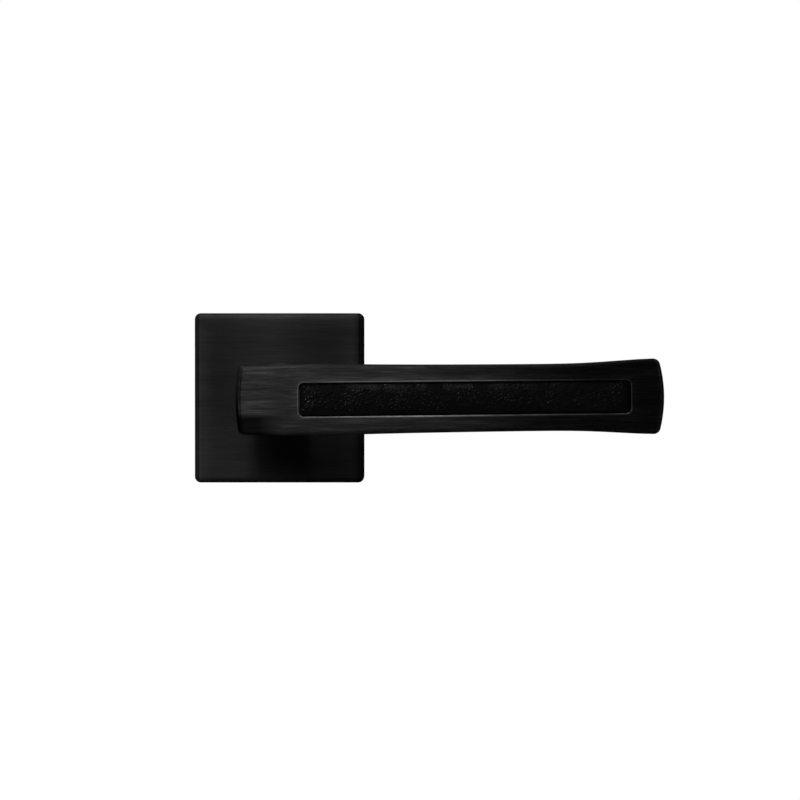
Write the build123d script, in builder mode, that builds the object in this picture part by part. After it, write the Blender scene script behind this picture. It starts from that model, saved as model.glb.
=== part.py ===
from build123d import *
import os
from math import asin, cos, pi, radians, sin, sqrt

# Door lever handle on a square rose with a clip-on cover and a leather inlay in the grip.
# Millimetres. The origin is on the spindle axis in the plane of the door's face.
# +X runs along the grip to its tip, +Y goes into the door, +Z is up.
# Heights called h are measured from the door's face towards the room, so Y = -h.

os.makedirs("parts", exist_ok=True)


def level(h):
    """The plane parallel to the door at height h, facing the room."""
    return Plane.XZ.offset(h)


# ---- rose ----
ROSE_SIDE = 52.0
ROSE_HEIGHT = 10.0
ROSE_CORNER = 1.85
ROSE_EDGE = 1.75
COVER_WALL = 1.3
COVER_FACE = 1.2
COVER_LIFT = 0.2
COVER_HOLE_R = 10.7

# ---- base plate ----
BASE_SIDE = 48.4
BASE_HEIGHT = 8.0
WEB = 1.6
SKIRT = 2.3
SPRING_POCKET_R = 14.3
RING_WALL_R = 17.4
BOLT_X = 19.0
SCREW_XY = 18.5
CLIP_WIDTH = 10.0
CLIP_RECESS = 0.9

# ---- neck and its bearing ----
NECK_R = 9.0
NECK_FOOT = 8.1
NECK_TOP = 30.0
JOURNAL_R = 8.0
BUSH_BORE_R = 8.03
BUSH_R = 9.0
BUSH_FLANGE_R = 10.2
DRIVE_FLATS = 13.0
JOURNAL_END = 2.05
NECK_END = -1.4
GROOVE_R = 7.5
SOCKET = 8.1
SOCKET_TOP = 28.0
GRUB_H = 16.0
GRUB_R = 2.5

# ---- grip ----
APEX_X = 20.0
APEX_H = 60.5
BOW_R = 800.0
CROWN_R = 150.0
HALF_Z = 13.0
TIP_X = 115.05
TIP_CORNER = (113.45, 11.18)
TIP_CORNER_R = 2.1
TAIL_X = -12.0
TAIL_R = 56.0
TAIL_DRAFT = 6.0
BACK_ARC = [(-16.0, -50.0), (55.0, -49.8), (117.0, -46.0)]
GRIP_RISE = 0.55

# ---- inlay ----
RECESS_X = (7.3, 105.2)
RECESS_HALF_Z = (4.98, 4.88)
RECESS_CORNER = 1.4
RECESS_DEPTH = 2.6
RIM = 0.2
INLAY_GAP = 0.25
LEATHER_TOP = 1.2
BACKING_TOP = 1.9
ADHESIVE_TOP = 2.4

# ---- return spring ----
WIRE = 1.2
COIL_R = 10.2
LEG_X = 2.4
LEG_Z = 13.2
BEND_R = 1.0
FIXED_LEG_H = 5.6
MOVING_LEG_H = 2.85
FULL_TURNS = 2
LUG_WIDTH = 3.2
PRESS_ANGLE = 45.0


# =====================================================================
# Grip, neck and drive end of the lever
# =====================================================================


def bowed_slab(near, far):
    """A slab that follows the grip's bowed and crowned front, from depth near to depth far below it."""
    start = radians(-2.9)
    rim_x = APEX_X + BOW_R * sin(start)
    rim_y = BOW_R - APEX_H - BOW_R * cos(start)
    section = Plane(
        origin=(rim_x, rim_y, 0),
        x_dir=(-sin(start), cos(start), 0),
        z_dir=(cos(start), sin(start), 0),
    )
    sag = HALF_Z**2 / (2 * CROWN_R)
    with BuildPart() as slab:
        with BuildSketch(section):
            with BuildLine():
                ThreePointArc((near + sag, -HALF_Z), (near, 0), (near + sag, HALF_Z))
                Line((near + sag, HALF_Z), (far + sag, HALF_Z))
                ThreePointArc((far + sag, HALF_Z), (far, 0), (far + sag, -HALF_Z))
                Line((far + sag, -HALF_Z), (near + sag, -HALF_Z))
            make_face()
        revolve(axis=Axis((APEX_X, BOW_R - APEX_H, 0), (0, 0, 1)), revolution_arc=10.2)
    return slab.part


def inlay_prism(gap):
    """The outline of the grip's pocket, drawn in by gap on every side, as a tall prism."""
    with BuildPart() as prism:
        with BuildSketch(level(46)) as outline:
            Polygon(
                (RECESS_X[0] + gap, RECESS_HALF_Z[0] - gap),
                (RECESS_X[0] + gap, -RECESS_HALF_Z[0] + gap),
                (RECESS_X[1] - gap, -RECESS_HALF_Z[1] + gap),
                (RECESS_X[1] - gap, RECESS_HALF_Z[1] - gap),
                align=None,
            )
            fillet(outline.vertices(), RECESS_CORNER - gap)
        extrude(amount=20)
    return prism.part


def inlay_layer(top, bottom, gap):
    """One layer of the inlay, between two depths below the front of the grip, rising with the grip."""
    with BuildPart() as layer:
        add(inlay_prism(gap))
        add(bowed_slab(top, bottom), mode=Mode.INTERSECT)
    return layer.part.rotate(Axis.Y, -GRIP_RISE)


# The grip's upper edge, from beyond the end over the neck to the tip.
# It is narrow in the middle and flared at the tip.
upper_edge = [
    (-15.0, 9.5),
    (-6.0, 10.2),
    (9.0, 10.53),
    (31.0, 10.22),
    (55.0, 9.97),
    (77.0, 9.88),
    (91.0, 10.06),
    (102.0, 10.66),
    (108.0, 11.02),
    TIP_CORNER,
]
lower_edge = [(x, -z) for x, z in reversed(upper_edge)]

with BuildPart() as grip:
    with BuildSketch(level(44)):
        with BuildLine():
            Spline(*upper_edge)
            ThreePointArc(TIP_CORNER, (TIP_X, 0), (TIP_CORNER[0], -TIP_CORNER[1]))
            Spline(*lower_edge)
            Line(lower_edge[-1], upper_edge[0])
        make_face()
    extrude(amount=20)
    fillet(grip.edges().filter_by(Axis.Y).group_by(Axis.X)[-1], TIP_CORNER_R)
    # the end over the neck is round in plan and drafted, so it leans away towards the front
    with BuildSketch(level(44)):
        with Locations((TAIL_X - 0.5 + TAIL_R, 0)):
            Circle(TAIL_R)
            Rectangle(160, 60, align=(Align.MIN, Align.CENTER))
    extrude(amount=20, taper=TAIL_DRAFT, mode=Mode.INTERSECT)
    fillet(grip.faces().sort_by(Axis.X)[0].edges().group_by(Axis.Y)[1], 1.3)
    # the back is a shallow curve in plan, a little thinner towards the tip
    with BuildSketch(Plane.XY.offset(-HALF_Z)):
        with BuildLine():
            ThreePointArc(*BACK_ARC)
            Polyline(BACK_ARC[2], (BACK_ARC[2][0], -70), (BACK_ARC[0][0], -70), BACK_ARC[0])
        make_face()
    extrude(amount=2 * HALF_Z, mode=Mode.INTERSECT)
    add(bowed_slab(0, 22), mode=Mode.INTERSECT)
    fillet(grip.faces().sort_by(Axis.Y)[-1].edges(), 1.2)
    fillet(grip.faces().sort_by(Axis.Y)[0].edges(), 1.3)

with BuildPart() as lever_handle:
    # the grip rises very slightly towards its tip
    add(grip.part.rotate(Axis.Y, -GRIP_RISE))
    # round neck, then a flare that turns into the grip
    with BuildSketch(level(NECK_FOOT)):
        Circle(NECK_R)
    extrude(amount=NECK_TOP - NECK_FOOT)
    with BuildSketch(level(NECK_TOP)):
        RectangleRounded(2 * NECK_R, 2 * NECK_R, NECK_R - 0.05)
    with BuildSketch(level(40)):
        with Locations((0.6, 0)):
            RectangleRounded(20.2, 18.1, 6.5)
    with BuildSketch(level(47)):
        with Locations((1.8, 0)):
            RectangleRounded(22.9, 18.3, 5.5)
    with BuildSketch(level(52)):
        with Locations((3.7, 0)):
            RectangleRounded(27.0, 18.5, 5)
    loft()
    # journal that turns in the bush
    with BuildSketch(level(JOURNAL_END)):
        Circle(JOURNAL_R)
    extrude(amount=NECK_FOOT - JOURNAL_END)
    # two flats that turn the spring driver
    with BuildSketch(level(NECK_END)):
        Circle(JOURNAL_R)
        Rectangle(DRIVE_FLATS, 2 * JOURNAL_R, mode=Mode.INTERSECT)
    extrude(amount=JOURNAL_END - NECK_END)
    # groove for the circlip
    with BuildSketch(level(-0.65)):
        Circle(JOURNAL_R + 1)
        Circle(GROOVE_R, mode=Mode.SUBTRACT)
    extrude(amount=1.1, mode=Mode.SUBTRACT)
    # square socket for the spindle
    with BuildSketch(level(NECK_END)):
        Rectangle(SOCKET, SOCKET)
    extrude(amount=SOCKET_TOP - NECK_END, mode=Mode.SUBTRACT)
    # threaded hole for the grub screw, from below
    with BuildSketch(Plane.XY.offset(-NECK_R - 1)):
        with Locations((0, -GRUB_H)):
            Circle(GRUB_R)
    extrude(amount=NECK_R, mode=Mode.SUBTRACT)
    # pocket for the inlay, with a narrow bright chamfer round its mouth
    add(inlay_layer(-1, RECESS_DEPTH, 0), mode=Mode.SUBTRACT)
    front = lever_handle.faces().filter_by(lambda f: len(f.inner_wires()) == 1).sort_by(Axis.Y)[0]
    chamfer(front.inner_wires()[0].edges(), RIM)
lever_handle.part.label = "lever_handle"
export_step(lever_handle.part, "parts/lever_handle.step")

with BuildPart() as inlay_adhesive:
    add(inlay_layer(ADHESIVE_TOP, RECESS_DEPTH, INLAY_GAP))
inlay_adhesive.part.label = "inlay_adhesive"
export_step(inlay_adhesive.part, "parts/inlay_adhesive.step")

with BuildPart() as inlay_backing:
    add(inlay_layer(BACKING_TOP, ADHESIVE_TOP, INLAY_GAP))
inlay_backing.part.label = "inlay_backing"
export_step(inlay_backing.part, "parts/inlay_backing.step")

with BuildPart() as leather_inlay:
    add(inlay_layer(LEATHER_TOP, BACKING_TOP, INLAY_GAP))
leather_inlay.part.label = "leather_inlay"
export_step(leather_inlay.part, "parts/leather_inlay.step")


# =====================================================================
# Pieces on the drive end of the lever
# =====================================================================

SPINDLE_SIDE = 8.0
SPINDLE_TOP = 27.6
SPINDLE_END = -70.0

with BuildPart() as spindle:
    with BuildSketch(level(SPINDLE_END)):
        Rectangle(SPINDLE_SIDE, SPINDLE_SIDE)
    extrude(amount=SPINDLE_TOP - SPINDLE_END)
    chamfer(spindle.faces().sort_by(Axis.Y)[0].edges(), 0.5)
    chamfer(spindle.faces().sort_by(Axis.Y)[-1].edges(), 0.8)
    chamfer(spindle.edges().filter_by(Axis.Y), 0.3)
spindle.part.label = "spindle"
export_step(spindle.part, "parts/spindle.step")

with BuildPart() as grub_screw:
    with BuildSketch(Plane.XY.offset(-8.7)):
        with Locations((0, -GRUB_H)):
            Circle(GRUB_R - 0.02)
    extrude(amount=4.65)
    chamfer(grub_screw.faces().sort_by(Axis.Z)[-1].edges(), 0.6)
    chamfer(grub_screw.faces().sort_by(Axis.Z)[0].edges(), 0.25)
    with BuildSketch(Plane.XY.offset(-8.7)):
        with Locations((0, -GRUB_H)):
            RegularPolygon(radius=1.27, side_count=6, major_radius=False)
    extrude(amount=2.2, mode=Mode.SUBTRACT)
grub_screw.part.label = "grub_screw"
export_step(grub_screw.part, "parts/grub_screw.step")

DRIVER_R = 13.9
DRIVER_BACK = 0.75
DRIVER_FRONT = 1.95
STOP_TAB_R = 16.0
STOP_TAB_HALF = 7.0
MOVING_LUG_R = 12.6


def sector(radius, first, last):
    """A pie slice between two angles from straight down, positive towards -X."""
    with BuildSketch() as slice_sketch:
        with BuildLine():
            angles = [radians(-90 - first), radians(-90 - (first + last) / 2), radians(-90 - last)]
            rim = [(radius * cos(t), radius * sin(t)) for t in angles]
            ThreePointArc(*rim)
            Polyline(rim[2], (0, 0), rim[0])
        make_face()
    return slice_sketch.sketch


stop_tab = sector(STOP_TAB_R, -STOP_TAB_HALF, STOP_TAB_HALF)
stop_window = sector(STOP_TAB_R + 0.3, -STOP_TAB_HALF - 0.2, STOP_TAB_HALF + PRESS_ANGLE + 0.2)

with BuildPart() as spring_driver:
    with BuildSketch(level(DRIVER_BACK)):
        Circle(DRIVER_R)
        add(stop_tab)
    extrude(amount=DRIVER_FRONT - DRIVER_BACK)
    # lug bent up between the two legs of the spring
    with BuildSketch(level(DRIVER_BACK)):
        Circle(DRIVER_R)
        Circle(MOVING_LUG_R, mode=Mode.SUBTRACT)
        with Locations((0, DRIVER_R)):
            Rectangle(LUG_WIDTH, 6, mode=Mode.INTERSECT)
    extrude(amount=6.1 - DRIVER_BACK)
    # hole with two flats that fits over the neck's end
    with BuildSketch(level(0)):
        Circle(JOURNAL_R + 0.05)
        Rectangle(DRIVE_FLATS + 0.1, 20, mode=Mode.INTERSECT)
    extrude(amount=4, mode=Mode.SUBTRACT)
spring_driver.part.label = "spring_driver"
export_step(spring_driver.part, "parts/spring_driver.step")

with BuildPart() as thrust_washer:
    with BuildSketch(level(0.42)):
        Circle(10.5)
        Circle(JOURNAL_R + 0.1, mode=Mode.SUBTRACT)
    extrude(amount=0.3)
thrust_washer.part.label = "thrust_washer"
export_step(thrust_washer.part, "parts/thrust_washer.step")

with BuildPart() as circlip:
    with BuildSketch(level(-0.6)):
        Circle(9.7)
        # the ring is wider opposite its opening
        with Locations((0, 0.35)):
            Circle(9.9)
        with Locations((-2.6, -9.4), (2.6, -9.4)):
            Circle(1.7)
        Circle(GROOVE_R + 0.02, mode=Mode.SUBTRACT)
        with Locations((0, -9.5)):
            Rectangle(2.2, 8, mode=Mode.SUBTRACT)
        with Locations((-2.7, -9.5), (2.7, -9.5)):
            Circle(0.75, mode=Mode.SUBTRACT)
    extrude(amount=1.0)
circlip.part.label = "circlip"
export_step(circlip.part, "parts/circlip.step")


# =====================================================================
# Rose cover and the ring in its hole
# =====================================================================

COVER_INSIDE = ROSE_SIDE - 2 * COVER_WALL

with BuildPart() as rose_cover:
    with BuildSketch(level(COVER_LIFT)):
        RectangleRounded(ROSE_SIDE, ROSE_SIDE, ROSE_CORNER)
    extrude(amount=ROSE_HEIGHT - COVER_LIFT)
    fillet(rose_cover.faces().sort_by(Axis.Y)[0].edges(), ROSE_EDGE)
    with BuildSketch(level(COVER_LIFT)):
        RectangleRounded(COVER_INSIDE, COVER_INSIDE, 0.8)
    extrude(amount=ROSE_HEIGHT - COVER_FACE - COVER_LIFT, mode=Mode.SUBTRACT)
    with BuildSketch(level(0)):
        Circle(COVER_HOLE_R)
    extrude(amount=ROSE_HEIGHT + 1, mode=Mode.SUBTRACT)
    # notch under the lower edge, where a blade lifts the cover off
    with BuildSketch(Plane.XY.offset(-ROSE_SIDE / 2 - 1)):
        with Locations((0, -COVER_LIFT)):
            Rectangle(9, 2.6)
    extrude(amount=3, mode=Mode.SUBTRACT)
rose_cover.part.label = "rose_cover"
export_step(rose_cover.part, "parts/rose_cover.step")

LINER_BORE_R = 9.2
LINER_FLANGE_R = 12.0

with BuildPart() as cover_liner_ring:
    with BuildSketch(level(8.2)):
        Circle(LINER_FLANGE_R)
        Circle(LINER_BORE_R, mode=Mode.SUBTRACT)
    extrude(amount=ROSE_HEIGHT - COVER_FACE - 8.2)
    with BuildSketch(level(8.2)):
        Circle(COVER_HOLE_R)
        Circle(LINER_BORE_R, mode=Mode.SUBTRACT)
    extrude(amount=2.05)
    lip = cover_liner_ring.faces().sort_by(Axis.Y)[0]
    chamfer(lip.outer_wire().edges(), 0.2)
cover_liner_ring.part.label = "cover_liner_ring"
export_step(cover_liner_ring.part, "parts/cover_liner_ring.step")


# =====================================================================
# Base plate and what is fixed to it
# =====================================================================

BUSH_SEAT = 7.4
POST_SPIGOT_R = 3.2
POST_R = 3.75
POST_SEAT_TOP = 3.5
SCREW_HOLE_R = 2.0
BOLT_HOLE_R = 2.2
FIXED_LUG_R = (11.3, 12.3)
corners_xy = [(x, z) for x in (-SCREW_XY, SCREW_XY) for z in (-SCREW_XY, SCREW_XY)]
bolts_xy = [(-BOLT_X, 0), (BOLT_X, 0)]

with BuildPart() as rose_base:
    with BuildSketch(level(0)):
        RectangleRounded(BASE_SIDE, BASE_SIDE, 1.2)
    extrude(amount=BASE_HEIGHT)
    chamfer(rose_base.faces().sort_by(Axis.Y)[0].edges(), 0.4)
    # hollow back: skirt, ring wall, bosses and four diagonal ribs stay
    with BuildSketch(level(0)):
        RectangleRounded(BASE_SIDE - 2 * SKIRT, BASE_SIDE - 2 * SKIRT, 2)
        Circle(RING_WALL_R, mode=Mode.SUBTRACT)
        with Locations(*bolts_xy):
            Circle(5.0, mode=Mode.SUBTRACT)
        with Locations(*corners_xy):
            Circle(3.8, mode=Mode.SUBTRACT)
        for angle in (45, 135):
            with Locations(Location((0, 0), angle)):
                Rectangle(60, 1.8, mode=Mode.SUBTRACT)
    extrude(amount=BASE_HEIGHT - WEB, mode=Mode.SUBTRACT)
    # round pocket for the spring and the driver
    with BuildSketch(level(0)):
        Circle(SPRING_POCKET_R)
    extrude(amount=BASE_HEIGHT - WEB, mode=Mode.SUBTRACT)
    # window that stops the driver's tab at rest and at full press
    with BuildSketch(level(0)):
        add(stop_window)
    extrude(amount=2.2, mode=Mode.SUBTRACT)
    # fixed lug between the spring's legs
    with BuildSketch(level(2.25)):
        Circle(FIXED_LUG_R[1])
        Circle(FIXED_LUG_R[0], mode=Mode.SUBTRACT)
        with Locations((0, FIXED_LUG_R[1])):
            Rectangle(LUG_WIDTH, 6, mode=Mode.INTERSECT)
    extrude(amount=BASE_HEIGHT - WEB - 2.25)
    # seat of the bush
    with BuildSketch(level(BUSH_SEAT)):
        Circle(BUSH_FLANGE_R + 0.1)
    extrude(amount=1, mode=Mode.SUBTRACT)
    with BuildSketch(level(0)):
        Circle(BUSH_R)
    extrude(amount=BASE_HEIGHT, mode=Mode.SUBTRACT)
    # bolt holes, countersunk at the front, with seats for the posts at the back
    with Locations(*[Location((x, -BASE_HEIGHT, 0), (90, 0, 0)) for x, z in bolts_xy]):
        CounterSinkHole(BOLT_HOLE_R, 4.15, BASE_HEIGHT, 90)
    with BuildSketch(level(0)):
        with Locations(*bolts_xy):
            Circle(POST_SPIGOT_R)
    extrude(amount=POST_SEAT_TOP, mode=Mode.SUBTRACT)
    with BuildSketch(level(0)):
        with Locations(*bolts_xy):
            Circle(POST_R + 0.2)
    extrude(amount=0.8, mode=Mode.SUBTRACT)
    # holes for wood screws
    with BuildSketch(level(0)):
        with Locations(*corners_xy):
            Circle(SCREW_HOLE_R)
    extrude(amount=BASE_HEIGHT, mode=Mode.SUBTRACT)
    # shallow recess in each side for a cover clip
    with BuildSketch(level(0.6)):
        for angle in (0, 90, 180, 270):
            with Locations(Location((0, 0), angle)):
                with Locations((BASE_SIDE / 2, 0)):
                    Rectangle(2 * CLIP_RECESS, CLIP_WIDTH + 0.4)
    extrude(amount=6.4, mode=Mode.SUBTRACT)
rose_base.part.label = "rose_base"
export_step(rose_base.part, "parts/rose_base.step")

with BuildPart() as neck_bush:
    with BuildSketch(level(2.1)):
        Circle(BUSH_R)
    extrude(amount=BASE_HEIGHT - 2.1)
    with BuildSketch(level(BUSH_SEAT)):
        Circle(BUSH_FLANGE_R)
    extrude(amount=BASE_HEIGHT - BUSH_SEAT)
    with BuildSketch(level(0)):
        Circle(BUSH_BORE_R)
    extrude(amount=BASE_HEIGHT + 1, mode=Mode.SUBTRACT)
neck_bush.part.label = "neck_bush"
export_step(neck_bush.part, "parts/neck_bush.step")


# The spring's wire comes down the fixed leg, bends into the coil, goes round
# and bends out to the moving leg.
bend_x = LEG_X - BEND_R
bend_z = sqrt((COIL_R + BEND_R) ** 2 - bend_x**2)
join = asin(bend_x / (COIL_R + BEND_R))
coil_sweep = 2 * pi * FULL_TURNS + 2 * join
coil_steps = 24
wire_line = [(-LEG_X, -FIXED_LEG_H, LEG_Z), (-LEG_X, -FIXED_LEG_H, (LEG_Z + bend_z) / 2)]
for i in range(5):
    turn = pi - (pi / 2 + join) * i / 4
    wire_line.append((-bend_x + BEND_R * cos(turn), -FIXED_LEG_H, bend_z - BEND_R * sin(turn)))
for i in range(1, coil_steps):
    turn = -join + coil_sweep * i / coil_steps
    h = FIXED_LEG_H + (MOVING_LEG_H - FIXED_LEG_H) * i / coil_steps
    wire_line.append((COIL_R * sin(turn), -h, COIL_R * cos(turn)))
for i in range(5):
    turn = (pi / 2 + join) - (pi / 2 + join) * i / 4
    wire_line.append((bend_x + BEND_R * cos(turn), -MOVING_LEG_H, bend_z - BEND_R * sin(turn)))
wire_line += [(LEG_X, -MOVING_LEG_H, (LEG_Z + bend_z) / 2), (LEG_X, -MOVING_LEG_H, LEG_Z)]

with BuildPart() as return_spring:
    with BuildLine() as wire_path:
        Spline(*wire_line, tangents=[(0, 0, -1), (0, 0, 1)])
    with BuildSketch(Plane(origin=wire_line[0], z_dir=(0, 0, -1))):
        Circle(WIRE / 2)
    sweep()
return_spring.part.label = "return_spring"
export_step(return_spring.part, "parts/return_spring.step")

# One bowed spring leaf for each side of the base.
for name, angle in (("right", 0), ("top", 90), ("left", 180), ("bottom", 270)):
    with BuildPart() as cover_clip:
        side = Plane(origin=(0, 0, 0), x_dir=(cos(radians(angle)), 0, sin(radians(angle))), z_dir=(0, 1, 0))
        across = side.y_dir
        leaf = Plane(
            origin=across * (-CLIP_WIDTH / 2),
            x_dir=side.x_dir,
            z_dir=across,
        )
        with BuildSketch(leaf):
            with BuildLine():
                ThreePointArc((23.3, 1.0), (24.2, 3.8), (23.3, 6.6))
                Line((23.3, 6.6), (23.7, 6.6))
                ThreePointArc((23.7, 6.6), (24.6, 3.8), (23.7, 1.0))
                Line((23.7, 1.0), (23.3, 1.0))
            make_face()
        extrude(amount=CLIP_WIDTH)
    cover_clip.part.label = "cover_clip_" + name
    export_step(cover_clip.part, "parts/cover_clip_" + name + ".step")

BOLT_END = -37.0
BOLT_SHANK_R = 1.75
BOLT_THREAD_R = 2.0
POST_END = -8.0

for name, x in (("left", -BOLT_X), ("right", BOLT_X)):
    with BuildPart() as through_bolt:
        with BuildSketch(level(BOLT_END)):
            with Locations((x, 0)):
                Circle(BOLT_THREAD_R)
        extrude(amount=POST_END - 1 - BOLT_END)
        chamfer(through_bolt.faces().sort_by(Axis.Y)[-1].edges(), 0.4)
        with BuildSketch(level(POST_END - 1)):
            with Locations((x, 0)):
                Circle(BOLT_SHANK_R)
        extrude(amount=BASE_HEIGHT - POST_END + 1)
        with BuildSketch(level(BASE_HEIGHT)):
            with Locations((x, 0)):
                Circle(3.95)
        extrude(amount=-2.2, taper=45)
        # cross recess
        with BuildSketch(level(BASE_HEIGHT)):
            with Locations((x, 0)):
                Rectangle(4.4, 0.9)
                Rectangle(0.9, 4.4)
        extrude(amount=-1.9, taper=12, mode=Mode.SUBTRACT)
    through_bolt.part.label = "through_bolt_" + name
    export_step(through_bolt.part, "parts/through_bolt_" + name + ".step")

    with BuildPart() as support_post:
        with BuildSketch(level(POST_END)):
            with Locations((x, 0)):
                Circle(POST_R)
        extrude(amount=-0.4 - POST_END)
        chamfer(support_post.edges().filter_by(GeomType.CIRCLE).sort_by(Axis.Y)[-1], 0.4)
        with BuildSketch(level(-0.4)):
            with Locations((x, 0)):
                Circle(POST_SPIGOT_R)
        extrude(amount=POST_SEAT_TOP + 0.4)
        with BuildSketch(level(POST_END)):
            with Locations((x, 0)):
                Circle(BOLT_HOLE_R)
        extrude(amount=POST_SEAT_TOP - POST_END, mode=Mode.SUBTRACT)
    support_post.part.label = "support_post_" + name
    export_step(support_post.part, "parts/support_post_" + name + ".step")
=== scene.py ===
import math

import bmesh
import bpy
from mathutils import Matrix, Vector, noise


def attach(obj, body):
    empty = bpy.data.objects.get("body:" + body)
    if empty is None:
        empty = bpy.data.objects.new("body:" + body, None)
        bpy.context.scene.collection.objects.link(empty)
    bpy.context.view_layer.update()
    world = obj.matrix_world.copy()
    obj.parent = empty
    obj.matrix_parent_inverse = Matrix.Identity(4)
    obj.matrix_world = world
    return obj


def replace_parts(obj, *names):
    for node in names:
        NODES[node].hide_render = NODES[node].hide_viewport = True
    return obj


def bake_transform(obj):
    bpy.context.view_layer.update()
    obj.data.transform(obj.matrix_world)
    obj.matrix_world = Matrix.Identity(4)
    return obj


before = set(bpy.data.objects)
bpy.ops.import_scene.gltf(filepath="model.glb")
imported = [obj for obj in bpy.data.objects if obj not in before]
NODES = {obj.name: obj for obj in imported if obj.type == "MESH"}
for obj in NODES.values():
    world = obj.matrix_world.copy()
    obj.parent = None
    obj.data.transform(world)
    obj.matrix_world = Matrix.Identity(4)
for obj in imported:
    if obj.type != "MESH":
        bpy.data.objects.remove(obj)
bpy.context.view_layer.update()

MM = 0.001

# Lengths are in millimetres unless they are multiplied by MM.

# The grip's front is bowed in plan about its apex and crowned across its height, and the grip
# rises slightly towards its tip.
APEX_X, APEX_Y = 20.0, -60.5
BOW_R, CROWN_R = 800.0, 150.0
RISE = math.radians(0.55)
# The mouth of the pocket in the grip's front that holds the inlay.
POCKET_X, POCKET_HALF_Z, POCKET_CORNER = (7.3, 105.2), 4.93, 1.4

# ---------------------------------------------------------------- shader building


class Shader:
    """A node material with a Principled shader, and short calls for the nodes that feed it."""

    def __init__(self, name, **constants):
        self.material = bpy.data.materials.new(name)
        self.material.use_nodes = True
        self.tree = self.material.node_tree
        self.tree.nodes.clear()
        output = self.tree.nodes.new("ShaderNodeOutputMaterial")
        self.bsdf = self.tree.nodes.new("ShaderNodeBsdfPrincipled")
        self.tree.links.new(self.bsdf.outputs[0], output.inputs[0])
        for key, value in constants.items():
            self.bsdf.inputs[key.replace("_", " ")].default_value = value
        coord = self.tree.nodes.new("ShaderNodeTexCoord")
        self.place = coord.outputs["Object"]
        self.facing = coord.outputs["Normal"]
        self.normal = self.tree.nodes.new("ShaderNodeNewGeometry").outputs["Normal"]

    def put(self, socket, value):
        """Links an output to an input socket, or sets the socket to a plain value."""
        if isinstance(value, bpy.types.NodeSocket):
            self.tree.links.new(value, socket)
        elif value is not None:
            socket.default_value = value

    def math(self, operation, a, b=None):
        node = self.tree.nodes.new("ShaderNodeMath")
        node.operation = operation
        for socket, value in zip(node.inputs, (a, b)):
            self.put(socket, value)
        return node.outputs[0]

    def vector_math(self, operation, a, b):
        node = self.tree.nodes.new("ShaderNodeVectorMath")
        node.operation = operation
        self.put(node.inputs[0], a)
        self.put(node.inputs[1], b)
        return node.outputs[0]

    def split(self, vector):
        node = self.tree.nodes.new("ShaderNodeSeparateXYZ")
        self.put(node.inputs[0], vector)
        return node.outputs[0], node.outputs[1], node.outputs[2]

    def join(self, x, y, z):
        """The opposite of split."""
        node = self.tree.nodes.new("ShaderNodeCombineXYZ")
        for socket, value in zip(node.inputs, (x, y, z)):
            self.put(socket, value)
        return node.outputs[0]

    def scaled(self, vector, x, y, z):
        return self.vector_math("MULTIPLY", vector, (x, y, z))

    def turned(self, x, y, z):
        """A direction fixed to the piece, as it lies in the scene after the piece has moved."""
        node = self.tree.nodes.new("ShaderNodeVectorTransform")
        node.vector_type = "VECTOR"
        node.convert_from, node.convert_to = "OBJECT", "WORLD"
        node.inputs[0].default_value = (x, y, z)
        return node.outputs[0]

    def blend(self, factor, a, b):
        """a where factor is 0 and b where it is 1, for vectors."""
        node = self.tree.nodes.new("ShaderNodeMix")
        node.data_type = "VECTOR"
        self.put(node.inputs[0], factor)
        self.put(node.inputs[4], a)
        self.put(node.inputs[5], b)
        return node.outputs[1]

    def noise(self, vector, scale=1.0, detail=3.0, rough=0.55):
        node = self.tree.nodes.new("ShaderNodeTexNoise")
        self.put(node.inputs["Vector"], vector)
        node.inputs["Scale"].default_value = scale
        node.inputs["Detail"].default_value = detail
        node.inputs["Roughness"].default_value = rough
        return node.outputs["Fac"]

    def cells(self, vector, scale):
        """The distance to the nearest of many scattered points."""
        node = self.tree.nodes.new("ShaderNodeTexVoronoi")
        self.put(node.inputs["Vector"], vector)
        node.inputs["Scale"].default_value = scale
        return node.outputs["Distance"]

    def ramp(self, factor, low, high, to_low=0.0, to_high=1.0):
        """Maps low..high to to_low..to_high, held at either end. low may be above high."""
        node = self.tree.nodes.new("ShaderNodeMapRange")
        self.put(node.inputs["Value"], factor)
        node.inputs["From Min"].default_value = low
        node.inputs["From Max"].default_value = high
        node.inputs["To Min"].default_value = to_low
        node.inputs["To Max"].default_value = to_high
        return node.outputs["Result"]

    def colours(self, factor, *stops):
        """A colour ramp: each stop is (position, (r, g, b))."""
        node = self.tree.nodes.new("ShaderNodeValToRGB")
        self.put(node.inputs[0], factor)
        points = node.color_ramp.elements
        while len(points) < len(stops):
            points.new(0.5)
        for point, (position, colour) in zip(points, stops):
            point.position = position
            point.color = (*colour, 1.0)
        return node.outputs[0]

    def bump(self, height, depth, strength=1.0):
        node = self.tree.nodes.new("ShaderNodeBump")
        node.inputs["Strength"].default_value = strength
        node.inputs["Distance"].default_value = depth
        self.put(node.inputs["Height"], height)
        self.tree.links.new(node.outputs[0], self.bsdf.inputs["Normal"])

    def colour(self, value):
        self.put(self.bsdf.inputs["Base Color"], value)

    def roughness(self, value):
        self.put(self.bsdf.inputs["Roughness"], value)


def grey(value):
    return (value, value, value)


# One brushed stroke is about 9 mm long and 0.36 mm wide.
STREAK_LENGTH = 1 / (9 * MM)
STREAK_WIDTH = 1 / (0.36 * MM)
STROKE_DEPTH = 0.010 * MM
# Full anisotropy spreads the reflection across the strokes. The tint darkens it at grazing angles.
SPREAD = 1.0
GRAZING_TINT = 0.35


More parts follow.
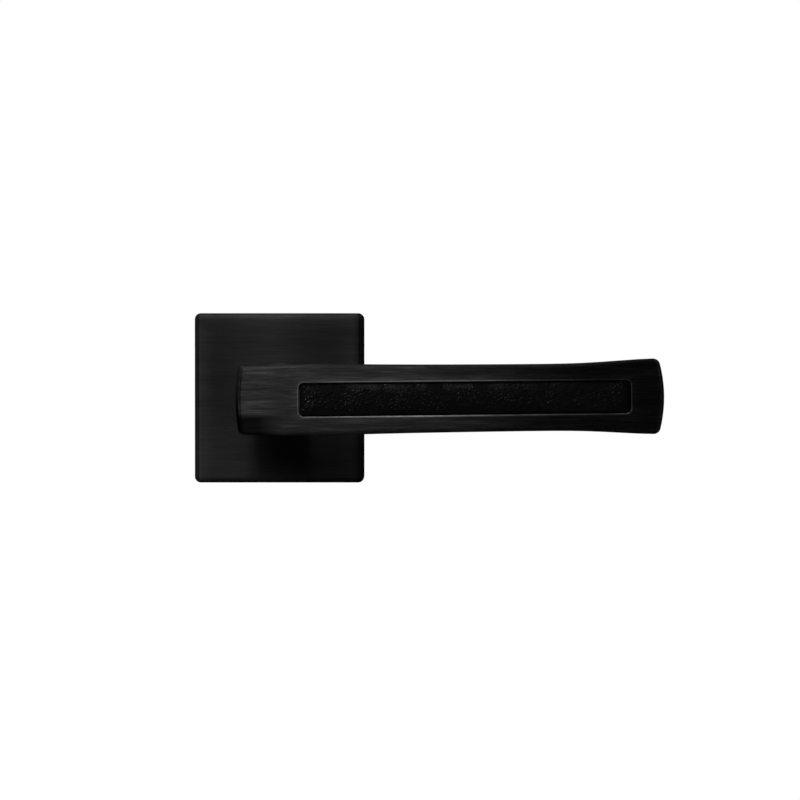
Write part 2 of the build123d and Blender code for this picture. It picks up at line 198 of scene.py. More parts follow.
def brushed_black(name, grain, tones, rough, painted_light_and_tone):
    """Near-black brushed metal.

    grain(shader) gives coordinates that are stretched along the strokes, and the direction across
    them. wear(shader, strokes) gives the factor that lightens or darkens the black at each place:
    painted highlights and painted shade, and on the rose also its upright bands.
    """
    s = Shader(name, Metallic=1.0, Anisotropic=SPREAD)
    s.bsdf.inputs["Specular Tint"].default_value = (*grey(GRAZING_TINT), 1.0)
    stretched, across = grain(s)
    fine = s.noise(stretched, 1.0, 4.0, 0.7)
    broad = s.noise(s.scaled(stretched, 0.3, 0.16, 0.16), 1.0, 2.0, 0.5)
    mixed = s.math("ADD", s.math("MULTIPLY", fine, 0.62), s.math("MULTIPLY", broad, 0.38))
    dark, middle, light = (grey(tone) for tone in tones)
    base = s.colours(mixed, (0.30, dark), (0.50, middle), (0.68, light))
    # the base colour carries painted highlights and painted shade
    s.colour(s.vector_math("MULTIPLY", base, painted_light_and_tone(s, fine)))
    s.roughness(s.ramp(mixed, 0.3, 0.7, rough[0], rough[1]))
    s.bump(mixed, STROKE_DEPTH, 1.0)
    s.put(s.bsdf.inputs["Tangent"], across)
    return s.material


def grip_place(s):
    """Coordinates that rise with the grip: along it, depth below its bowed front, and across it."""
    x, y, z = s.split(s.place)
    cos, sin = math.cos(RISE), math.sin(RISE)
    along = s.math("ADD", s.math("MULTIPLY", x, cos), s.math("MULTIPLY", z, sin))
    across = s.math("SUBTRACT", s.math("MULTIPLY", z, cos), s.math("MULTIPLY", x, sin))
    offset = s.math("SUBTRACT", along, APEX_X * MM)
    squared = s.math("SUBTRACT", (BOW_R * MM) ** 2, s.math("MULTIPLY", offset, offset))
    centre_y = (APEX_Y + BOW_R) * MM
    depth = s.math("SUBTRACT", s.math("ADD", y, s.math("SQRT", squared)), centre_y)
    return along, depth, across


# A face counts as an end or a side where its normal's x passes from the first to the second.
END_FACING = (0.7, 0.8)
FRONT_FACING = (0.6, 0.75)
# The grip's strokes give way to the neck's between these depths.
NECK_STARTS = (-49.5, -48.5)


def lever_grain(s):
    """Strokes run the length of the grip, round the neck, and up and down on the grip's ends."""
    y = s.split(s.place)[1]
    nx, ny, _ = s.split(s.facing)
    along, depth, across = grip_place(s)
    length = s.math("MULTIPLY", along, STREAK_LENGTH)
    deep = s.math("MULTIPLY", depth, STREAK_WIDTH)
    faces = s.join(length, 0.0, s.math("MULTIPLY", across, STREAK_WIDTH))
    edges = s.join(length, deep, 0.0)
    ends = s.join(s.math("MULTIPLY", across, STREAK_LENGTH), deep, 0.0)
    neck = s.scaled(s.place, STREAK_LENGTH, STREAK_WIDTH, STREAK_LENGTH)
    on_face = s.ramp(s.math("ABSOLUTE", ny), *FRONT_FACING)
    on_end = s.ramp(s.math("ABSOLUTE", nx), *END_FACING)
    on_neck = s.ramp(y, NECK_STARTS[0] * MM, NECK_STARTS[1] * MM)
    grip = s.blend(on_end, s.blend(on_face, edges, faces), ends)
    across_grip = s.vector_math("CROSS_PRODUCT", s.turned(1, 0, 0), s.normal)
    across_end = s.vector_math("CROSS_PRODUCT", s.turned(0, 0, 1), s.normal)
    across_neck = s.turned(0, 1, 0)
    direction = s.blend(on_neck, s.blend(on_end, across_grip, across_end), across_neck)
    return s.blend(on_neck, grip, neck), direction


# The painted highlight line round the pocket: where it fades out past the pocket's wall, how
# unsteady that is, how deep it goes, how strong it is, and where along the grip it gains and loses
# strength.
LINE_FADE = (0.52, 0.24)
LINE_WANDER = 0.5
LINE_DEPTH = (0.9, 0.4)
LINE_DIM, LINE_STRONG, LINE_TIP = 3.4, 8.2, 2.2
LINE_GAINS, LINE_LOSES = (14.0, 42.0), (46.0, 100.0)
# The painted highlight on the border next to that line.
BORDER_REACH, BORDER_GAIN = (3.0, 0.3), 0.35
# The painted shade patch in the lower corner over the neck, along and across the grip.
DUSK_ALONG, DUSK_ACROSS, DUSK = (3.0, -5.0), (-3.8, -5.4), 0.8
# Painted shade: the black is deeper towards the tip, and on the drafted end over the neck.
TIP_FADE, TIP_GAIN = (46.0, 108.0), 0.62
TAIL_FACING, TAIL_GAIN = (-0.85, -0.7), 0.6


def pocket_distance(s, along, across):
    """How far a place is outside the mouth of the inlay's pocket, which has round corners."""
    middle = (POCKET_X[0] + POCKET_X[1]) / 2 * MM
    half = (POCKET_X[1] - POCKET_X[0]) / 2 * MM
    corner = POCKET_CORNER * MM
    out_x = s.math("ABSOLUTE", s.math("SUBTRACT", along, middle))
    out_x = s.math("MAXIMUM", s.math("SUBTRACT", out_x, half - corner), 0.0)
    out_z = s.math("SUBTRACT", s.math("ABSOLUTE", across), POCKET_HALF_Z * MM - corner)
    out_z = s.math("MAXIMUM", out_z, 0.0)
    squares = s.math("ADD", s.math("MULTIPLY", out_x, out_x), s.math("MULTIPLY", out_z, out_z))
    return s.math("SUBTRACT", s.math("SQRT", squares), corner)


def span(s, value, limits, to_low=0.0, to_high=1.0):
    """A ramp over a pair of lengths in millimetres."""
    return s.ramp(value, limits[0] * MM, limits[1] * MM, to_low, to_high)


def lever_painted_light(s, strokes):
    """A painted highlight line and border round the inlay's pocket, and painted shade at the tip,
    tail and a corner.
    """
    along, depth, across = grip_place(s)
    outside = pocket_distance(s, along, across)
    # painted highlight along the rim of the pocket
    wander = s.math("MULTIPLY", s.math("SUBTRACT", strokes, 0.5), LINE_WANDER * MM)
    line = span(s, s.math("ADD", outside, wander), LINE_FADE)
    line = s.math("MULTIPLY", line, span(s, depth, LINE_DEPTH))
    gains = span(s, along, LINE_GAINS, LINE_DIM, LINE_STRONG)
    loses = span(s, along, LINE_LOSES, LINE_STRONG, LINE_TIP)
    line = s.math("MULTIPLY", line, s.math("MINIMUM", gains, loses))
    # painted highlight on the border beside the pocket
    border = s.math("MULTIPLY", span(s, outside, BORDER_REACH), BORDER_GAIN)
    gain = s.math("ADD", s.math("ADD", line, border), 1.0)
    # painted shade towards the tip and on the drafted end
    tip = span(s, along, TIP_FADE, 1.0, TIP_GAIN)
    tail = s.ramp(s.split(s.facing)[0], *TAIL_FACING, TAIL_GAIN, 1.0)
    gain = s.math("MULTIPLY", gain, s.math("MULTIPLY", tip, tail))
    # painted shade in the lower corner over the neck
    dusk = s.math("MULTIPLY", span(s, along, DUSK_ALONG), span(s, across, DUSK_ACROSS))
    return s.math("MULTIPLY", gain, s.math("SUBTRACT", 1.0, s.math("MULTIPLY", dusk, DUSK)))


def rose_grain(s):
    """Strokes run level on the face, top and bottom, and up and down on the other two sides."""
    face = s.scaled(s.place, STREAK_LENGTH, STREAK_WIDTH, STREAK_WIDTH)
    side = s.scaled(s.place, STREAK_WIDTH, STREAK_WIDTH, STREAK_LENGTH)
    on_side = s.ramp(s.math("ABSOLUTE", s.split(s.facing)[0]), *END_FACING)
    across_face = s.vector_math("CROSS_PRODUCT", s.turned(1, 0, 0), s.normal)
    across_side = s.vector_math("CROSS_PRODUCT", s.turned(0, 0, 1), s.normal)
    return s.blend(on_side, face, side), s.blend(on_side, across_face, across_side)


# The rose's painted highlights on its top and left edges and its lower left corner, its upright
# bands with their drift, and its painted shade on its lower part and its right edge.
EDGE_REACH, EDGE_GAIN = (20.0, 25.0), 0.35
CORNER_REACH, CORNER_GAIN = (-16.0, -44.0), 0.45
BAND_PITCH, BAND_SWING, BAND_MIDDLE = 34.0, 0.19, 0.83
BAND_DRIFT, BAND_DRIFT_SCALE = 6.0, 60.0
LOWER_REACH, LOWER_GAIN = (-4.0, 11.0), 0.84
RIGHT_REACH, RIGHT_GAIN = (22.5, 25.0), 0.42


def rose_bands_and_painted_light(s, _strokes):
    """Painted highlights on the top and left edges and lower left corner, painted shade low down
    and right, and upright bands.
    """
    x, _, z = s.split(s.place)
    # painted highlight on the top and left edges
    edge = span(s, s.math("MAXIMUM", s.math("MULTIPLY", x, -1.0), z), EDGE_REACH)
    drift = s.math("MULTIPLY", s.noise(s.place, BAND_DRIFT_SCALE, 2.0), BAND_DRIFT * MM)
    phase = s.math("MULTIPLY", s.math("ADD", x, drift), 2 * math.pi / (BAND_PITCH * MM))
    bands = s.math("MULTIPLY", s.math("COSINE", phase), BAND_SWING)
    bands = s.math("ADD", bands, BAND_MIDDLE)
    # painted highlight in the lower left corner
    corner = span(s, s.math("ADD", x, z), CORNER_REACH)
    edges = s.math("MULTIPLY", edge, EDGE_GAIN)
    edges = s.math("ADD", edges, s.math("MULTIPLY", corner, CORNER_GAIN))
    # painted shade on the lower part and the right edge
    lower = span(s, z, LOWER_REACH, LOWER_GAIN, 1.0)
    right = span(s, x, RIGHT_REACH, 1.0, RIGHT_GAIN)
    return s.math("MULTIPLY", s.math("ADD", edges, bands), s.math("MULTIPLY", lower, right))


def mottle(s, base, spread, rough, mixed):
    """Colour that varies about base by the part in spread, and roughness that varies with it."""
    low = tuple(c * (1 - spread) for c in base)
    high = tuple(min(1.0, c * (1 + spread)) for c in base)
    s.colour(s.colours(mixed, (0.3, low), (0.7, high)))
    s.roughness(s.ramp(mixed, 0.3, 0.7, rough[0], rough[1]))


def speckled(name, base, spread, rough, scale, depth, metallic=1.0):
    """A plain technical surface: cast, moulded or plated, with a fine even mottle."""
    s = Shader(name, Metallic=metallic)
    small = s.noise(s.place, scale, 4.0, 0.6)
    large = s.noise(s.place, scale * 0.08, 2.0, 0.5)
    mixed = s.math("ADD", s.math("MULTIPLY", small, 0.65), s.math("MULTIPLY", large, 0.35))
    mottle(s, base, spread, rough, mixed)
    s.bump(small, depth)
    return s.material


def drawn(name, base, spread, rough, scales, depth):
    """Drawn or turned metal, with fine lines along the axis whose scale is the smallest."""
    s = Shader(name, Metallic=1.0)
    lines = s.noise(s.scaled(s.place, *scales), 1.0, 4.0, 0.6)
    cloud = s.noise(s.place, 160.0, 2.0, 0.5)
    mixed = s.math("ADD", s.math("MULTIPLY", lines, 0.7), s.math("MULTIPLY", cloud, 0.3))
    mottle(s, base, spread, rough, mixed)
    s.bump(lines, depth)
    return s.material


def paint(node, material):
    """Gives a CAD node its material."""
    mesh = NODES[node].data
    mesh.materials.clear()
    mesh.materials.append(material)


# the three tones of each black are its creases, its body and its brightest strokes
LEVER_TONES, ROSE_TONES = (0.012, 0.036, 0.090), (0.027, 0.035, 0.044)
black_lever = brushed_black("black_lever", lever_grain, LEVER_TONES, (0.40, 0.33), lever_painted_light)
black_rose = brushed_black("black_rose", rose_grain, ROSE_TONES, (0.42, 0.34), rose_bands_and_painted_light)
# name, base colour, spread, roughness, scale of the mottle, depth of the bump
zinc_cast = speckled("zinc_cast", (0.46, 0.465, 0.47), 0.18, (0.42, 0.58), 2600.0, 0.02 * MM)
blackened = speckled("blackened", (0.03, 0.03, 0.032), 0.3, (0.35, 0.5), 3000.0, 0.006 * MM)
nylon = speckled(
    "nylon", (0.016, 0.016, 0.017), 0.25, (0.42, 0.55), 4200.0, 0.008 * MM, metallic=0.0
)
board = speckled("board", (0.24, 0.18, 0.12), 0.3, (0.8, 0.95), 1500.0, 0.03 * MM, metallic=0.0)
glue = speckled("glue", (0.62, 0.58, 0.46), 0.12, (0.35, 0.5), 900.0, 0.02 * MM, metallic=0.0)
# the same, with a scale for each axis
plated = drawn(
    "plated", (0.60, 0.61, 0.60), 0.10, (0.24, 0.36), (1800.0, 60.0, 1800.0), 0.006 * MM
)
spring_steel = drawn(
    "spring_steel", (0.34, 0.34, 0.35), 0.15, (0.25, 0.36), (700.0, 700.0, 700.0), 0.004 * MM
)
turned = drawn("turned", (0.62, 0.61, 0.58), 0.10, (0.22, 0.34), (40.0, 3600.0, 40.0), 0.006 * MM)

for node, material in {
    "lever_handle": black_lever,
    "rose_cover": black_rose,
    "cover_liner_ring": nylon,
    "neck_bush": nylon,
    "rose_base": zinc_cast,
    "spindle": plated,
    "spring_driver": plated,
    "thrust_washer": spring_steel,
    "circlip": blackened,
    "grub_screw": blackened,
    "inlay_backing": board,
    "inlay_adhesive": glue,
    "leather_inlay": board,
    "return_spring": spring_steel,
    "cover_clip_right": spring_steel,
    "cover_clip_top": spring_steel,
    "cover_clip_left": spring_steel,
    "cover_clip_bottom": spring_steel,
    "through_bolt_left": turned,
    "through_bolt_right": turned,
    "support_post_left": turned,
    "support_post_right": turned,
}.items():
    paint(node, material)

# ---------------------------------------------------------------- pieces made here


def faces_outward(shape):
    bmesh.ops.recalc_face_normals(shape, faces=shape.faces)


def join_seams(shape):
    """Joins points that lie on one another and closes what is left open."""
    bmesh.ops.remove_doubles(shape, verts=shape.verts, dist=0.0008 * MM)
    bmesh.ops.holes_fill(shape, edges=shape.edges, sides=0)
    faces_outward(shape)


def reshape(mesh, change):
    shape = bmesh.new()
    shape.from_mesh(mesh)
    change(shape)
    shape.to_mesh(mesh)
    shape.free()


def smooth_shading(mesh):
    for polygon in mesh.polygons:
        polygon.use_smooth = True


def new_piece(name, verts, faces, material):
    """A smooth-shaded mesh object in the row frame, with its points given in millimetres."""
    mesh = bpy.data.meshes.new(name)
    mesh.from_pydata([(x * MM, y * MM, z * MM) for x, y, z in verts], [], faces)
    mesh.validate()
    reshape(mesh, faces_outward)
    mesh.materials.append(material)
    smooth_shading(mesh)
    piece = bpy.data.objects.new(name, mesh)
    bpy.context.scene.collection.objects.link(piece)
    return piece


def smoothstep(t):
    """0 to 1 with level ends, for t from 0 to 1."""
    t = min(1.0, max(0.0, t))
    return t * t * (3 - 2 * t)


def on_grip(x, z, depth):
    """The point at this depth below the grip's front, where x and z run along and across it."""
    crown = z * z / (2 * CROWN_R)
    return (
        x * math.cos(RISE) - z * math.sin(RISE),
        APEX_Y + BOW_R - math.sqrt(BOW_R**2 - (x - APEX_X) ** 2) + crown + depth,
        x * math.sin(RISE) + z * math.cos(RISE),
    )


# ---- leather inlay: rolled edges and a pebbled grain, in real geometry

LEATHER_X = (7.55, 104.95)
# half the strip's width at the end over the neck and at the tip
LEATHER_HALF_Z = (4.73, 4.63)
LEATHER_CORNER = 1.15
# depths below the grip's front: the middle of the leather, its rolled edge and its back
LEATHER_TOP, LEATHER_EDGE, LEATHER_BACK = 1.2, 1.70, 1.9
ROLL = 3.4  # how far in from the edge the leather rolls down
PEBBLE, PEBBLE_SHORT = 0.9, 0.85  # a pebble's length, and its height as a part of that
PEBBLE_RISE = 0.13
PEBBLE_EDGE = 0.6  # the pebbles flatten out this near the edge
CREASE = 0.5
WARP, WARP_SCALE = 0.55, 0.35  # how far and how slowly the rows of pebbles wander
WRINKLE, WRINKLE_SCALE = 0.12, 3.6
STEP = 0.15  # the mesh's spacing
# without a seed of its own, noise_vector follows the clock
noise.seed_set(5)


def pebbles(x, z):
    """The leather's grain at a point: 0 in the creases and up to 1 on the wrinkled crowns."""
    warp = noise.noise_vector(Vector((x * WARP_SCALE, z * WARP_SCALE, 3.1))) * WARP
    at = Vector((x / PEBBLE, z / (PEBBLE * PEBBLE_SHORT), 0.0)) + warp
    distances, points = noise.voronoi(at)
    crease = smoothstep((distances[1] - distances[0]) / CREASE)
    height = noise.cell(points[0] * 7.3)
    small = noise.noise(Vector((x * WRINKLE_SCALE, z * WRINKLE_SCALE, 9.7)))
    return min(1.0, crease * (0.55 + 0.35 * height) + WRINKLE * small)


def leather_half(x):
    """Half the strip's width at a place along it, with its round corners taken off."""
    t = (x - LEATHER_X[0]) / (LEATHER_X[1] - LEATHER_X[0])
    straight = LEATHER_HALF_Z[0] + (LEATHER_HALF_Z[1] - LEATHER_HALF_Z[0]) * t
    inside = max(0.0, LEATHER_CORNER - min(x - LEATHER_X[0], LEATHER_X[1] - x))
    return straight - LEATHER_CORNER + math.sqrt(LEATHER_CORNER**2 - inside**2)


def make_leather():
    """A closed strip: a pebbled front with rolled edges, cut edges, and a back on the board."""
    columns = int((LEATHER_X[1] - LEATHER_X[0]) / STEP)
    rows = int(2 * LEATHER_HALF_Z[0] / STEP)
    front, back = [], []
    for i in range(columns + 1):
        x = LEATHER_X[0] + (LEATHER_X[1] - LEATHER_X[0]) * i / columns
        half = leather_half(x)
        for j in range(rows + 1):
            z = half * (2 * j / rows - 1)
            edge = max(0.0, min(x - LEATHER_X[0], LEATHER_X[1] - x, half - abs(z)))
            roll = math.sqrt(1 - (1 - min(1.0, edge / ROLL)) ** 2)
            depth = LEATHER_EDGE + (LEATHER_TOP - LEATHER_EDGE) * roll
            sink = PEBBLE_RISE * (1 - pebbles(x, z)) * smoothstep(edge / PEBBLE_EDGE)
            front.append(on_grip(x, z, depth + sink))
            back.append(on_grip(x, z, LEATHER_BACK))
    faces = []
    under = len(front)
    across = rows + 1
    for i in range(columns):
        for j in range(rows):
            a = i * across + j
            faces.append((a, a + 1, a + across + 1, a + across))
            faces.append((under + a, under + a + across, under + a + across + 1, under + a + 1))
        for a in (i * across, i * across + rows):
            side = (a, a + across, under + a + across, under + a)
            faces.append(side if a % across == 0 else side[::-1])
    for j in range(rows):
        a = j
        faces.append((a, under + a, under + a + 1, a + 1))
        a = columns * across + j
        faces.append((a, a + 1, under + a + 1, under + a))
    return front + back, faces


def leather_material():
    """Black grain leather: matt creases, crowns with small glints, fine pores and faint clouds."""
    s = Shader(
        "leather_grain",
        Metallic=0.0,
        Specular_IOR_Level=0.08,
        Coat_Roughness=0.11,
        Coat_IOR=1.25,
    )
    fine = s.noise(s.place, 4200.0, 3.0, 0.6)
    pores = s.cells(s.place, 2600.0)
    clouds = s.noise(s.place, 420.0, 3.0, 0.6)
    s.colour(s.colours(clouds, (0.35, grey(0.0015)), (0.62, grey(0.003)), (0.78, grey(0.006))))
    mixed = s.math("ADD", s.math("MULTIPLY", fine, 0.5), s.math("MULTIPLY", clouds, 0.5))
    s.roughness(s.ramp(mixed, 0.35, 0.65, 0.38, 0.62))
    # the shine comes and goes in patches of about 5 mm
    patches = s.noise(s.place, 150.0, 2.0, 0.5)
    s.put(s.bsdf.inputs["Coat Weight"], s.ramp(patches, 0.42, 0.60, 0.05, 0.65))
    height = s.math("ADD", s.math("MULTIPLY", fine, 0.6), s.math("MULTIPLY", pores, 0.5))
    s.bump(height, 0.05 * MM, 0.8)
    return s.material


leather = new_piece("leather_strip", *make_leather(), leather_material())
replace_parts(leather, "leather_inlay")
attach(leather, "lever")


# ---- return spring: a round wire that winds up between its fixed leg and its moving leg

WIRE_R, COIL_R = 0.6, 10.2
LEG_X, LEG_Z, BEND_R = 2.4, 13.2, 1.0
FIXED_Y, MOVING_Y = -5.6, -2.85  # the two ends of the coil
COIL_STEPS, BEND_STEPS, LEG_STEPS = 150, 8, 4
WIRE_SIDES = 12
WIRE_END = 0.8  # the wire's end is this part of its thickness


def spring_line():
    """The wire's centre line: down the fixed leg, two turns round, and up the moving leg."""
    bend_x = LEG_X - BEND_R
    bend_z = math.sqrt((COIL_R + BEND_R) ** 2 - bend_x**2)
    join = math.asin(bend_x / (COIL_R + BEND_R))
    bend = math.pi / 2 + join
    fixed = [LEG_Z + (bend_z - LEG_Z) * i / LEG_STEPS for i in range(LEG_STEPS)]
    line = [(-LEG_X, FIXED_Y, z) for z in fixed]
    for i in range(BEND_STEPS + 1):
        turn = math.pi - bend * i / BEND_STEPS
        line.append((-bend_x + BEND_R * math.cos(turn), FIXED_Y, bend_z - BEND_R * math.sin(turn)))
    for i in range(1, COIL_STEPS):
        turn = -join + (4 * math.pi + 2 * join) * i / COIL_STEPS
        y = FIXED_Y + (MOVING_Y - FIXED_Y) * i / COIL_STEPS
        line.append((COIL_R * math.sin(turn), y, COIL_R * math.cos(turn)))
    for i in range(BEND_STEPS + 1):
        turn = bend * (1 - i / BEND_STEPS)
        line.append((bend_x + BEND_R * math.cos(turn), MOVING_Y, bend_z - BEND_R * math.sin(turn)))
    moving = [bend_z + (LEG_Z - bend_z) * i / LEG_STEPS for i in range(1, LEG_STEPS + 1)]
    line += [(LEG_X, MOVING_Y, z) for z in moving]
    return [Vector(p) for p in line]


def tube(line, radius, sides):
    """Points and faces of a round tube along a line, a little thinner at its two ends."""
    verts, faces, rings = [], [], []
    normal = None
    last = len(line) - 1
    for k, point in enumerate(line):
        ahead = (line[min(k + 1, last)] - line[max(k - 1, 0)]).normalized()
        if normal is None:
            normal = ahead.orthogonal().normalized()
        # each ring starts from the one before it, so that the tube doesn't twist
        normal = (normal - ahead * normal.dot(ahead)).normalized()
        across = ahead.cross(normal)
        scale = radius * (WIRE_END if k in (0, last) else 1.0)
        ring = []
        for i in range(sides):
            a = 2 * math.pi * i / sides
            ring.append(len(verts))
            verts.append(tuple(point + (normal * math.cos(a) + across * math.sin(a)) * scale))
        rings.append(ring)
    for a, b in zip(rings, rings[1:]):
        for i in range(sides):
            n = (i + 1) % sides
            faces.append((a[i], a[n], b[n], b[i]))
    faces.append(tuple(reversed(rings[0])))
    faces.append(tuple(rings[-1]))
    return verts, faces


spring = new_piece("spring_wire", *tube(spring_line(), WIRE_R, WIRE_SIDES), spring_steel)
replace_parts(spring, "return_spring")
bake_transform(spring)


# ---- through bolts: countersunk head with a cross recess, reduced shank, rolled M4 thread

BOLT_X = 19.0  # half the distance between the two bolts
HEAD_Y, HEAD_R, HEAD_DEPTH = -8.0, 3.95, 2.2
HEAD_BEVEL = (0.15, 0.12)
HEAD_RIM = 0.3
SHANK_R, SHANK_FILLET = 1.75, (0.15, 0.4)
THREAD_R, ROOT_R, PITCH = 2.0, 1.62, 0.7
THREAD_START, THREAD_END = 9.0, 37.0
RUN_IN, RUN_OUT = 0.5, 0.6  # the thread fades in and out over these lengths
ROOT_FLAT, CREST_SLOPE = 0.12, 0.62  # parts of half a pitch
BOLT_SIDES, ROWS_PER_TURN = 32, 6
# the cross recess: its arms' reach and half width, and its scale and place at mouth and floor
ARM, ARM_HALF = 2.2, 0.45
RECESS = ((HEAD_Y - 0.3, 1.08), (HEAD_Y + 1.7, 0.62))
SHARP = math.radians(38)


def around(x, r, y, i):
    """The point on side i of the bolt at x, at radius r and height y."""
    a = 2 * math.pi * i / BOLT_SIDES
    return (x + r * math.cos(a), y, r * math.sin(a))


def bolt_mesh(x):
    """Head, shank and thread as open parts, whose seams are joined afterwards."""
    profile = [
        (HEAD_R * 0.6, HEAD_Y),
        (HEAD_R - HEAD_BEVEL[0], HEAD_Y),
        (HEAD_R, HEAD_Y + HEAD_BEVEL[1]),
        (HEAD_R, HEAD_Y + HEAD_RIM),
        (SHANK_R + SHANK_FILLET[0], HEAD_Y + HEAD_DEPTH),
        (SHANK_R, HEAD_Y + HEAD_DEPTH + SHANK_FILLET[1]),
        (SHANK_R, THREAD_START - RUN_IN),
        (ROOT_R, THREAD_START),
    ]
    verts, faces, rings = [(x, HEAD_Y, 0.0)], [], []
    for r, y in profile:
        rings.append(range(len(verts), len(verts) + BOLT_SIDES))
        verts += [around(x, r, y, i) for i in range(BOLT_SIDES)]
    first = rings[0]
    for i in range(BOLT_SIDES):
        faces.append((0, first[i], first[(i + 1) % BOLT_SIDES]))
    for a, b in zip(rings, rings[1:]):
        for i in range(BOLT_SIDES):
            n = (i + 1) % BOLT_SIDES
            faces.append((a[i], b[i], b[n], a[n]))
    # the thread's rows follow the helix, so its crest stays sharp
    rows = int((THREAD_END - THREAD_START) / PITCH * ROWS_PER_TURN)
    grid = []
    for j in range(-ROWS_PER_TURN, rows + 1):
        wave = abs(((j % ROWS_PER_TURN) / ROWS_PER_TURN) * 2 - 1)
        crest = min(1.0, max(0.0, (wave - ROOT_FLAT) / CREST_SLOPE))
        grid.append(range(len(verts), len(verts) + BOLT_SIDES))
        for i in range(BOLT_SIDES):
            y = THREAD_START + PITCH * (j / ROWS_PER_TURN + i / BOLT_SIDES)
            run_in = max(0.0, (y - THREAD_START) / RUN_IN)
            run_out = max(0.0, (THREAD_END - y) / RUN_OUT)
            r = ROOT_R + (THREAD_R - ROOT_R) * crest * min(1.0, run_in, run_out)
            verts.append(around(x, r, min(THREAD_END, max(THREAD_START, y)), i))
    for j in range(len(grid) - 1):
        for i in range(BOLT_SIDES):
            n = (i + 1) % BOLT_SIDES
            # past the last side, a row goes on as the row that lies one turn further along
            k = j if n else j + ROWS_PER_TURN
            if k + 1 < len(grid):
                faces.append((grid[j][i], grid[j + 1][i], grid[k + 1][n], grid[k][n]))
    return verts, faces


def cross_cutter(x):
    """A tapered cross, to be cut out of a bolt's head."""
    w = ARM_HALF
    outline = [(ARM, w), (w, w), (w, ARM), (-w, ARM), (-w, w), (-ARM, w)]
    outline += [(-px, -pz) for px, pz in outline]
    verts = [(x + px * scale, y, pz * scale) for y, scale in RECESS for px, pz in outline]
    count = len(outline)
    faces = [tuple(range(count)), tuple(reversed(range(count, 2 * count)))]
    for k in range(count):
        n = (k + 1) % count
        faces.append((k, count + k, count + n, n))
    return verts, faces


def make_bolt(name, x):
    bolt = new_piece(name, *bolt_mesh(x), turned)
    reshape(bolt.data, join_seams)
    cutter = new_piece(name + "_cutter", *cross_cutter(x), turned)
    cut = bolt.modifiers.new("recess", "BOOLEAN")
    cut.operation = "DIFFERENCE"
    cut.solver = "EXACT"
    cut.object = cutter
    graph = bpy.context.evaluated_depsgraph_get()
    done = bpy.data.meshes.new_from_object(bolt.evaluated_get(graph))
    bolt.modifiers.clear()
    bolt.data = done
    bpy.data.objects.remove(cutter)
    smooth_shading(bolt.data)
    bolt.data.set_sharp_from_angle(angle=SHARP)
    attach(bolt, "rosette")
    return bolt


for side, x in (("left", -BOLT_X), ("right", BOLT_X)):
    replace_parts(make_bolt("machine_screw_" + side, x), "through_bolt_" + side)

# ---------------------------------------------------------------- studio


def softbox(name, place, facing, width, height, radiance):
    """A rectangular light, given by its radiance, so that its size can change alone. In metres."""
    data = bpy.data.lights.new(name, "AREA")
    data.shape = "RECTANGLE"
    data.size = width
    data.size_y = height
    data.energy = radiance * math.pi * width * height
    lamp = bpy.data.objects.new(name, data)
    bpy.context.scene.collection.objects.link(lamp)
    lamp.location = place
    lamp.rotation_mode = "QUATERNION"
    lamp.rotation_quaternion = Vector(facing).to_track_quat("-Z", "Y")


# The key stands upright in front and to the left, from above the handle's height upwards. Its right
# side decides how far along the bowed grip its reflection reaches.
KEY_X, KEY_Z, KEY_Y = (-1.50, 0.38), (0.45, 2.20), -2.30
softbox(
    "key_softbox",
    ((KEY_X[0] + KEY_X[1]) / 2, KEY_Y, (KEY_Z[0] + KEY_Z[1]) / 2),
    (0, 1, 0),
    KEY_X[1] - KEY_X[0],
    KEY_Z[1] - KEY_Z[0],
    1.5,
)
# name, place, facing, width, height, radiance
for light in (
    ("glint_lamp", (-0.45, -2.2, 0.45), (0.45, 2.2, -0.45), 0.06, 0.06, 160.0),
    ("left_softbox", (-2.0, -0.9, 0.75), (1, 0, 0), 2.4, 1.5, 0.75),
    ("front_right_softbox", (2.0, -0.8, 0.75), (-1, 0, 0), 1.4, 1.5, 0.2),
    ("front_right_high", (1.3, -1.3, 1.7), (-1.3, 1.3, -1.7), 1.0, 1.0, 2.0),
    ("top_softbox", (0.0, -0.1, 1.8), (0, 0, -1), 1.2, 0.8, 1.2),
    ("top_strip", (-0.35, -0.95, 1.75), (0.35, 0.95, -1.75), 0.9, 0.22, 5.0),
    ("back_left_high", (-1.0, 1.3, 1.9), (1.0, -1.3, -1.9), 1.2, 1.2, 4.5),
    ("back_right", (1.7, 1.7, 0.5), (-1.7, -1.7, -0.5), 1.8, 1.5, 2.4),
    ("back_left", (-1.7, 1.5, 0.5), (1.7, -1.5, -0.5), 1.4, 1.4, 0.6),
    ("right_high", (1.6, -0.2, 1.7), (-1.6, 0.2, -1.7), 1.0, 1.0, 1.5),
):
    softbox(*light)

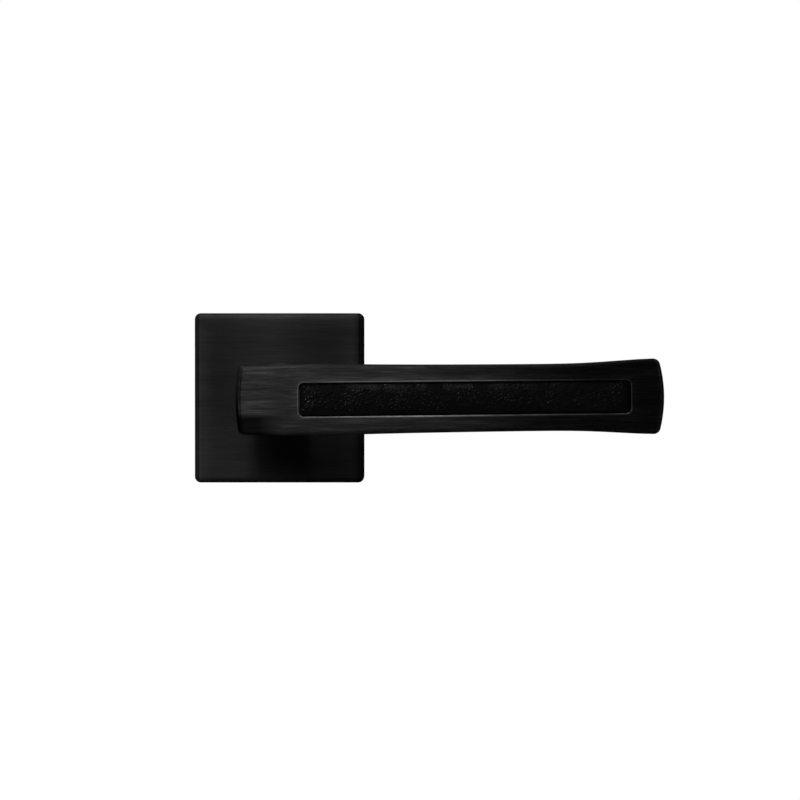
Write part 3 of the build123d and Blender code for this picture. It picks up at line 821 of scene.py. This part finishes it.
# the surroundings are white to the camera and give the handle only a faint fill
SEEN, FILL = 1.0, 0.01
world = bpy.data.worlds.new("studio")
bpy.context.scene.world = world
world.use_nodes = True
sky = world.node_tree
sky.nodes.clear()
output = sky.nodes.new("ShaderNodeOutputWorld")
mix = sky.nodes.new("ShaderNodeMixShader")
path = sky.nodes.new("ShaderNodeLightPath")
sky.links.new(path.outputs["Is Camera Ray"], mix.inputs[0])
for socket, strength in ((mix.inputs[1], FILL), (mix.inputs[2], SEEN)):
    background = sky.nodes.new("ShaderNodeBackground")
    background.inputs[0].default_value = (1, 1, 1, 1)
    background.inputs[1].default_value = strength
    sky.links.new(background.outputs[0], socket)
sky.links.new(mix.outputs[0], output.inputs[0])

# pale floor, well below the handle; only the camera sees it glow, so it doesn't light the handle
FLOOR_Z, FLOOR_R, FLOOR_GLOW = -0.30, 1.30, 0.93
bpy.ops.mesh.primitive_circle_add(
    vertices=128, radius=FLOOR_R, fill_type="NGON", location=(0, 0, FLOOR_Z)
)
floor = bpy.context.object
floor.name = "floor"
s = Shader("floor_white", Roughness=0.9)
s.colour(s.colours(s.noise(s.place, 3.0), (0.0, grey(0.11)), (1.0, grey(0.13))))
s.bsdf.inputs["Emission Color"].default_value = (1, 1, 1, 1)
seen = s.tree.nodes.new("ShaderNodeLightPath").outputs["Is Camera Ray"]
s.put(s.bsdf.inputs["Emission Strength"], s.math("MULTIPLY", seen, FLOOR_GLOW))
floor.data.materials.append(s.material)

# ---------------------------------------------------------------- camera

CAMERA_PLACE = (0.0370, -1.201, 0.0160)
CAMERA_DOWN = math.radians(0.80)
camera_data = bpy.data.cameras.new("camera")
camera_data.lens = 174.8
camera_data.sensor_width = 36.0
camera_data.clip_start = 0.05
camera_data.clip_end = 20.0
camera = bpy.data.objects.new("camera", camera_data)
bpy.context.scene.collection.objects.link(camera)
camera.location = CAMERA_PLACE
camera.rotation_euler = (math.pi / 2 - CAMERA_DOWN, 0, 0)
bpy.context.scene.camera = camera
bpy.context.scene.view_settings.view_transform = "Standard"
bpy.context.scene.view_settings.look = "None"
